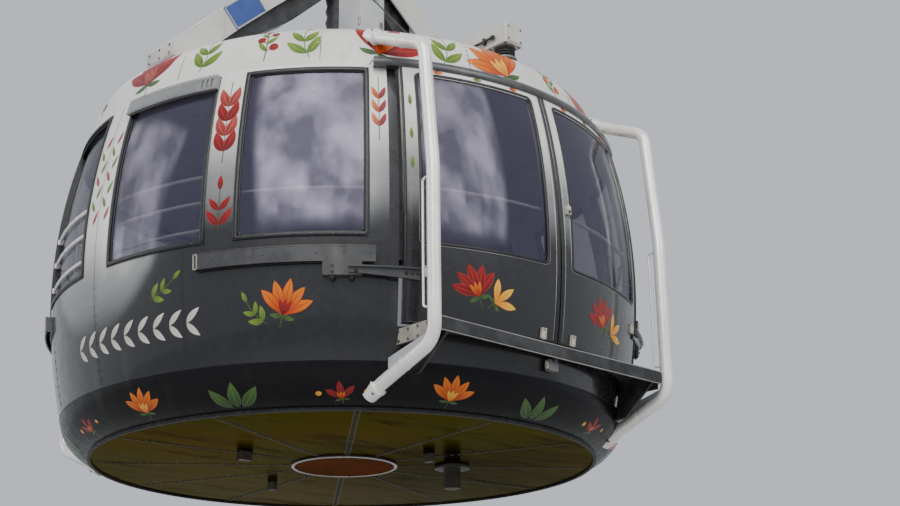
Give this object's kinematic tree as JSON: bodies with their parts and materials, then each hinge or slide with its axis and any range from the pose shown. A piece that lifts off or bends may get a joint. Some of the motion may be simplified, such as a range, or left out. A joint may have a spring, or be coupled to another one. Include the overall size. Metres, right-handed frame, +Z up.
{
  "type": "aerial cable car vehicle with a round cabin",
  "caption": "Round glazed cable car cabin with a turning floor, hung from an A-shaped hanger and a roller carriage on twin track ropes.",
  "frame": {"origin": "midway between the two track ropes, on the line where the carriage's rollers sit on them, above the cabin's axis", "axes": "+X along the ropes in the way of travel, -Y towards the front doors, +Z up"},
  "size_m": [5.012, 5.1588, 7.892],
  "materials": {
    "roof_paint": "gloss white wrap film over painted sheet",
    "wall_paint": "gloss near-black wrap film",
    "portal_paint": "satin near-black",
    "leaf_paint": "gloss near-black wrap film with a pale upper border",
    "belly_paint": "gloss near-black",
    "pan_sheet": "reflective bare sheet with a dull olive cast",
    "rim_black": "satin black",
    "frame_rubber": "black glazing rubber",
    "tinted_glass": "dark tinted safety glass",
    "gutter_paint": "grey and black half-round gutter",
    "vent_grey": "satin grey",
    "rail_metal": "pale satin tube",
    "floor_covering": "studded rubber floor covering",
    "floor_edging": "ribbed aluminium edging",
    "frame_steel": "grey primer",
    "carrier_black": "satin black",
    "hanger_paint": "satin off-white",
    "mount_rubber": "black rubber mount",
    "sleeve_rubber": "folded dark grey sleeve",
    "cabinet_grey": "light grey powder coat",
    "plate_blue": "plain blue plate",
    "fitting_metal": "dull dark metal",
    "carriage_paint": "satin off-white",
    "lamp_housing": "pale satin block with a clear window",
    "pin_steel": "greased bright steel pin",
    "hatch_paint": "satin off-white lid",
    "rocker_paint": "satin grey",
    "roller_steel": "worn steel rims with a groove liner",
    "tube_cream": "gloss cream tube with scuffs",
    "step_dark": "scuffed near-black"
  },
  "bodies": {
    "carriage": {"carriage_cheek_right": "carriage_paint", "carriage_cheek_left": "carriage_paint", "carriage_ties": "carriage_paint", "pivot_pin": "pin_steel", "rocker_aft_left": "rocker_paint", "rocker_aft_right": "rocker_paint", "rocker_fore_left": "rocker_paint", "rocker_fore_right": "rocker_paint"},
    "cabin": {"belly_shell": "belly_paint", "blank_plate": "plate_blue", "carrier_rails": "carrier_black", "damper_sleeves": "sleeve_rubber", "door_carriers": "carrier_black", "door_glass": "tinted_glass", "door_gutters": "gutter_paint", "door_lamps": "lamp_housing", "door_leaf_front_left": "leaf_paint", "door_leaf_front_right": "leaf_paint", "door_leaf_rear_left": "leaf_paint", "door_leaf_rear_right": "leaf_paint", "door_locks": "lamp_housing", "door_portal_front": "portal_paint", "door_portal_rear": "portal_paint", "door_step_front": "step_dark", "door_step_rear": "step_dark", "floor_edge": "floor_edging", "floor_frame": "frame_steel", "guide_tube_front_left": "tube_cream", "guide_tube_front_right": "tube_cream", "guide_tube_rear_left": "tube_cream", "guide_tube_rear_right": "tube_cream", "handrails": "rail_metal", "hanger_leg_aft": "hanger_paint", "hanger_leg_fore": "hanger_paint", "mast": "hanger_paint", "pan": "pan_sheet", "pan_fittings": "fitting_metal", "pan_rim": "rim_black", "roof_beam": "hanger_paint", "roof_cabinet": "cabinet_grey", "roof_hatch": "hatch_paint", "roof_mounts": "mount_rubber", "roof_shell": "roof_paint", "side_panel_front_left": "wall_paint", "side_panel_front_right": "wall_paint", "side_panel_rear_left": "wall_paint", "side_panel_rear_right": "wall_paint", "vent_headers": "vent_grey", "window_frames": "frame_rubber", "window_glass": "tinted_glass"},
    "floor": {"turning_floor": "floor_covering"},
    "roller_fore_outer_right": {"roller_fore_outer_right": "roller_steel"},
    "roller_fore_outer_left": {"roller_fore_outer_left": "roller_steel"},
    "roller_fore_inner_right": {"roller_fore_inner_right": "roller_steel"},
    "roller_fore_inner_left": {"roller_fore_inner_left": "roller_steel"},
    "roller_aft_outer_right": {"roller_aft_outer_right": "roller_steel"},
    "roller_aft_outer_left": {"roller_aft_outer_left": "roller_steel"},
    "roller_aft_inner_right": {"roller_aft_inner_right": "roller_steel"},
    "roller_aft_inner_left": {"roller_aft_inner_left": "roller_steel"}
  },
  "joints": [
    {"name": "hanger_swing", "type": "hinge", "parent": "carriage", "child": "cabin", "pos_m": [0, 0, -0.1], "axis": [0, 1, 0], "range_deg": [-35, 35]},
    {"name": "floor_turn", "type": "hinge", "parent": "cabin", "child": "floor", "pos_m": [0, 0, -6.87], "axis": [0, 0, 1], "continuous": true},
    {"name": "roll_fore_outer_right", "type": "hinge", "parent": "carriage", "child": "roller_fore_outer_right", "pos_m": [1.36, -0.375, 0.14], "axis": [0, 1, 0], "continuous": true},
    {"name": "roll_fore_outer_left", "type": "hinge", "parent": "carriage", "child": "roller_fore_outer_left", "pos_m": [1.36, 0.375, 0.14], "axis": [0, 1, 0], "continuous": true},
    {"name": "roll_fore_inner_right", "type": "hinge", "parent": "carriage", "child": "roller_fore_inner_right", "pos_m": [0.72, -0.375, 0.14], "axis": [0, 1, 0], "continuous": true},
    {"name": "roll_fore_inner_left", "type": "hinge", "parent": "carriage", "child": "roller_fore_inner_left", "pos_m": [0.72, 0.375, 0.14], "axis": [0, 1, 0], "continuous": true},
    {"name": "roll_aft_outer_right", "type": "hinge", "parent": "carriage", "child": "roller_aft_outer_right", "pos_m": [-1.36, -0.375, 0.14], "axis": [0, 1, 0], "continuous": true},
    {"name": "roll_aft_outer_left", "type": "hinge", "parent": "carriage", "child": "roller_aft_outer_left", "pos_m": [-1.36, 0.375, 0.14], "axis": [0, 1, 0], "continuous": true},
    {"name": "roll_aft_inner_right", "type": "hinge", "parent": "carriage", "child": "roller_aft_inner_right", "pos_m": [-0.72, -0.375, 0.14], "axis": [0, 1, 0], "continuous": true},
    {"name": "roll_aft_inner_left", "type": "hinge", "parent": "carriage", "child": "roller_aft_inner_left", "pos_m": [-0.72, 0.375, 0.14], "axis": [0, 1, 0], "continuous": true}
  ]
}
